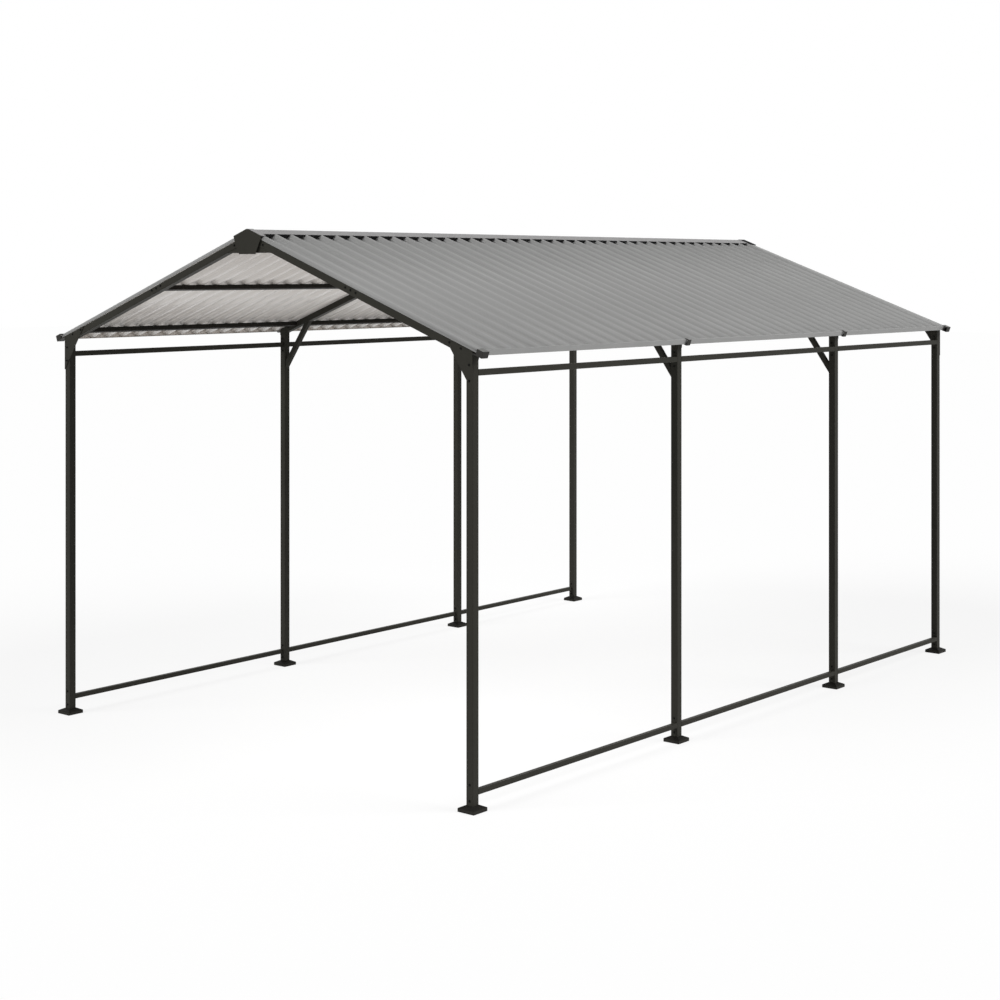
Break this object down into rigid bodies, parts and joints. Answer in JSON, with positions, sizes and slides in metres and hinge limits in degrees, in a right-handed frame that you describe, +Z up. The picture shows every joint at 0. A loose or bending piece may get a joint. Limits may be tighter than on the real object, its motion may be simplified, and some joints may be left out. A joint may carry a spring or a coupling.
{
  "type": "steel carport",
  "caption": "Gabled steel carport with open ends and sides: square-tube portal frames on flared feet, side rails, knee braces and a corrugated roof with a ridge cap.",
  "frame": {"origin": "on the ground, at the centre of the footprint", "axes": "+Y along the ridge from the front gable to the back, +X to the right across the parking space, +Z up"},
  "size_m": [3.2082, 4.81, 2.743],
  "materials": {
    "charcoal_frame": "satin powder coat",
    "galvanised_sheet": "matt galvanised",
    "galvanised_trim": "matt galvanised",
    "grey_hooks": "satin powder coat"
  },
  "bodies": {
    "root": {"back_left_gusset": "charcoal_frame", "back_left_post": "charcoal_frame", "back_left_rafter": "charcoal_frame", "back_ridge_end_cap": "charcoal_frame", "back_ridge_web": "charcoal_frame", "back_right_gusset": "charcoal_frame", "back_right_post": "charcoal_frame", "back_right_rafter": "charcoal_frame", "front_left_gusset": "charcoal_frame", "front_left_post": "charcoal_frame", "front_left_rafter": "charcoal_frame", "front_ridge_end_cap": "charcoal_frame", "front_ridge_web": "charcoal_frame", "front_right_gusset": "charcoal_frame", "front_right_post": "charcoal_frame", "front_right_rafter": "charcoal_frame", "left_eave_hooks": "grey_hooks", "left_eave_purlins": "charcoal_frame", "left_feet": "charcoal_frame", "left_lower_rails": "charcoal_frame", "left_mid_purlins": "charcoal_frame", "left_roof_sheet": "galvanised_sheet", "left_upper_rails": "charcoal_frame", "ridge_cap": "galvanised_trim", "right_eave_hooks": "grey_hooks", "right_eave_purlins": "charcoal_frame", "right_feet": "charcoal_frame", "right_lower_rails": "charcoal_frame", "right_mid_purlins": "charcoal_frame", "right_roof_sheet": "galvanised_sheet", "right_upper_rails": "charcoal_frame", "second_left_knee_brace": "charcoal_frame", "second_left_post": "charcoal_frame", "second_left_rafter": "charcoal_frame", "second_ridge_web": "charcoal_frame", "second_right_knee_brace": "charcoal_frame", "second_right_post": "charcoal_frame", "second_right_rafter": "charcoal_frame", "third_left_knee_brace": "charcoal_frame", "third_left_post": "charcoal_frame", "third_left_rafter": "charcoal_frame", "third_ridge_web": "charcoal_frame", "third_right_knee_brace": "charcoal_frame", "third_right_post": "charcoal_frame", "third_right_rafter": "charcoal_frame"}
  },
  "joints": []
}
